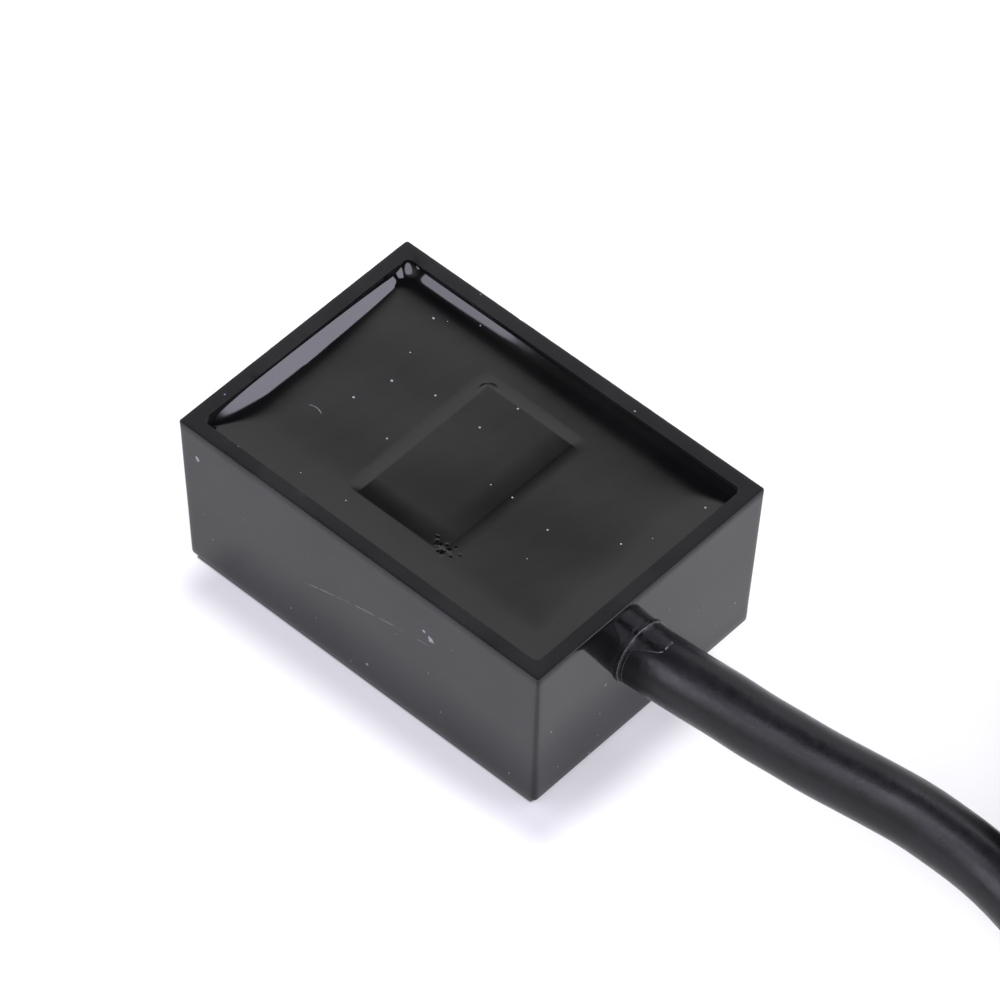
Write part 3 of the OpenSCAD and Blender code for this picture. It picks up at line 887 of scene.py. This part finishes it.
DARK_BODY = ((0.012, 0.012, 0.013), (0.022, 0.022, 0.024))
package = plain_material("moulded_package", *DARK_BODY, (0.45, 0.62), 2, 0.12, 0.006)
tin = plain_material(
    "tinned_metal", (0.48, 0.48, 0.49), (0.66, 0.66, 0.67), (0.24, 0.4), 0.8, 0.15, 0.006, metallic=1.0
)
assign(["housing_shell"], housing_material())
assign(["resin_fill"], resin_material())
assign(["sensor_cable"], jacket_material())
assign(["exit_sealant"], sealant_material())
assign(["circuit_board"], board_material())
assign(["coil_winding", "coil_leads"], winding_material())
assign(["oscillator_ic", "output_transistor", "protection_diode", "chip_resistors"], package)
assign(
    ["ic_leads", "transistor_leads", "diode_terminals", "zener_caps", "tantalum_terminals",
     "chip_terminals", "solder_joints", "tinned_ends"],
    tin,
)
PLAIN = {
    "adhesive_pad": ((0.018, 0.018, 0.020), (0.035, 0.035, 0.038), (0.75, 0.9), 1.2, 0.25, 0.05),
    "core_cradle": ((0.03, 0.03, 0.032), (0.05, 0.05, 0.052), (0.4, 0.55), 3, 0.2, 0.006),
    "ferrite_core": ((0.022, 0.022, 0.024), (0.05, 0.05, 0.052), (0.5, 0.7), 0.8, 0.08, 0.012),
    "coil_spool": ((0.60, 0.56, 0.44), (0.72, 0.68, 0.55), (0.35, 0.5), 2, 0.2, 0.004),
    "zener_diode": ((0.45, 0.14, 0.07), (0.60, 0.22, 0.12), (0.05, 0.12), 1.5, 0.4, 0.002),
    "tantalum_capacitor": ((0.50, 0.33, 0.07), (0.62, 0.43, 0.10), (0.4, 0.55), 2, 0.12, 0.005),
    "chip_capacitors": ((0.30, 0.19, 0.10), (0.42, 0.28, 0.15), (0.35, 0.5), 0.6, 0.08, 0.004),
    "flying_brown": ((0.085, 0.030, 0.012), (0.115, 0.043, 0.018), (0.32, 0.45), 2, 0.15, 0.005),
    "flying_blue": ((0.010, 0.055, 0.26), (0.016, 0.080, 0.34), (0.32, 0.45), 2, 0.15, 0.005),
    "flying_black": ((0.010, 0.010, 0.011), (0.018, 0.018, 0.019), (0.32, 0.45), 2, 0.15, 0.005),
    "nylon_ties": ((0.62, 0.61, 0.56), (0.72, 0.71, 0.66), (0.3, 0.45), 2, 0.25, 0.006),
}
for piece, values in PLAIN.items():
    assign([piece], plain_material(piece + "_finish", *values, dust=0.05))
brass = plain_material(
    "ring_brass_finish", (0.45, 0.30, 0.10), (0.60, 0.42, 0.16), (0.2, 0.4), 0.8, 0.1, 0.004, metallic=1.0
)
assign(["strain_relief_ring"], brass)
for inner, outer in (("inner_brown_core", "flying_brown"), ("inner_blue_core", "flying_blue"),
                     ("inner_black_core", "flying_black")):
    assign([inner], bpy.data.materials[outer + "_finish"])


# ---------------------------------------------------------------- floor, world and lights
# In metres, as the mesh is. The floor lies a hair under the part.
FLOOR_HALF, FLOOR_Z_M = 1.5, -2e-5
# Painted shade: the floor's own light is dimmed near the part, softly round one rectangle as a painted
# contact shadow, and almost wholly under the housing's foot as a painted dark line. Middles, half sizes
# and reaches are in millimetres.
SHADE_MIDDLE, SHADE_HALF, SHADE_REACH = (1.85, -3.0, 0), (12.85, 7.0, 0), 2.9
FOOT_SHADOW_MIDDLE, FOOT_SHADOW_HALF, FOOT_SHADOW_REACH = (0, 0, 0), (13.15, 9.0, 0), (0.26, 0.08)


def off_rectangle(g, at, middle, half):
    """How far a place on the floor lies outside a rectangle."""
    flat = g.vector("MULTIPLY", g.vector("SUBTRACT", at, middle), (1, 1, 0))
    past = g.vector("SUBTRACT", g.vector("ABSOLUTE", flat), half)
    return g.vector("LENGTH", g.vector("MAXIMUM", past, (0, 0, 0)))


def make_floor():
    mesh = bpy.data.meshes.new("floor")
    corners = [(-1, -1), (1, -1), (1, 1), (-1, 1)]
    mesh.from_pydata(
        [(x * FLOOR_HALF, y * FLOOR_HALF, FLOOR_Z_M) for x, y in corners], [], [(0, 1, 2, 3)]
    )
    floor = bpy.data.objects.new("floor", mesh)
    scene.collection.objects.link(floor)
    mat = bpy.data.materials.new("pale_floor")
    g = Graph(mat)
    at = g.place()
    base = g.mix(g.noise(at, 30, 2), colour(0.23, 0.23, 0.235), colour(0.25, 0.25, 0.255))
    gap = off_rectangle(g, at, SHADE_MIDDLE, SHADE_HALF)
    # Painted shade: the glow fades toward the part and stands in for its shadow on the floor.
    glow_and_painted_shade = g.mix(g.step(gap, SHADE_REACH, 0.0), colour(0.99, 0.985, 1.0), colour(0.49, 0.48, 0.51))
    # Painted shadow: under the housing's foot both the glow and the floor's colour turn almost black.
    deep = g.step(off_rectangle(g, at, FOOT_SHADOW_MIDDLE, FOOT_SHADOW_HALF), *FOOT_SHADOW_REACH)
    glow_and_painted_shade = g.mix(deep, glow_and_painted_shade, colour(0.02))
    base = g.mix(deep, base, colour(0.03))
    shader = finish_shader(g, base, 0.9, Emission_Strength=0.75)
    g.put(shader.inputs["Emission Color"], glow_and_painted_shade)
    floor.data.materials.append(mat)


# How bright the surroundings are, from the horizon and below (0) to straight up (1).
WORLD_STOPS = [
    (0.0, 0.7), (0.3, 0.92), (0.65, 1.0), (0.742, 0.98), (0.775, 0.62), (0.83, 0.17), (0.88, 0.05),
    (1.0, 0.04),
]
# Azimuth and elevation of each soft box's middle, its half width and half height, all in degrees,
# and its level.
SOFT_BOXES = [(47, 41, 28, 20, 5.3), (232, 37, 30, 18, 4.6), (317, 56, 17, 19, 5.2)]
BOX_TINT = (0.93, 0.915, 1.08)


def make_world():
    """A bright ring of walls under a dark ceiling, with three soft boxes."""
    world = bpy.data.worlds.new("studio")
    scene.world = world
    g = Graph(world)
    way = g.add("TexCoord").outputs["Generated"]
    height = g.add("SeparateXYZ", None, Vector=way).outputs[2]
    ramp = g.add("ValToRGB")
    ramp.color_ramp.interpolation = "LINEAR"
    elements = ramp.color_ramp.elements
    for place, _ in WORLD_STOPS[1:-1]:
        elements.new(place)
    for (place, level), element in zip(WORLD_STOPS, elements):
        element.position, element.color = place, colour(level, level, level * 1.02)
    g.put(ramp.inputs[0], height)
    total = ramp.outputs[0]
    for azimuth, elevation, wide, high, level in SOFT_BOXES:
        a, e = math.radians(azimuth), math.radians(elevation)
        ahead = (math.cos(a) * math.cos(e), math.sin(a) * math.cos(e), math.sin(e))
        right = (-math.sin(a), math.cos(a), 0)
        up = (-math.cos(a) * math.sin(e), -math.sin(a) * math.sin(e), math.cos(e))
        facing = g.vector("DOT_PRODUCT", way, ahead)
        u = g.math("ABSOLUTE", g.vector("DOT_PRODUCT", way, right))
        v = g.math("ABSOLUTE", g.vector("DOT_PRODUCT", way, up))
        w, h = math.sin(math.radians(wide)), math.sin(math.radians(high))
        inside = g.math("MULTIPLY", g.step(u, w + 0.02, w - 0.02), g.step(v, h + 0.015, h - 0.015))
        inside = g.math("MULTIPLY", inside, g.math("GREATER_THAN", facing, 0.2))
        total = g.mix(inside, total, colour(*(tint * level for tint in BOX_TINT)))
    back = g.add("Background", None, Color=total, Strength=1.0)
    out = g.add("OutputWorld")
    g.put(out.inputs["Surface"], back.outputs[0])


make_floor()
make_world()
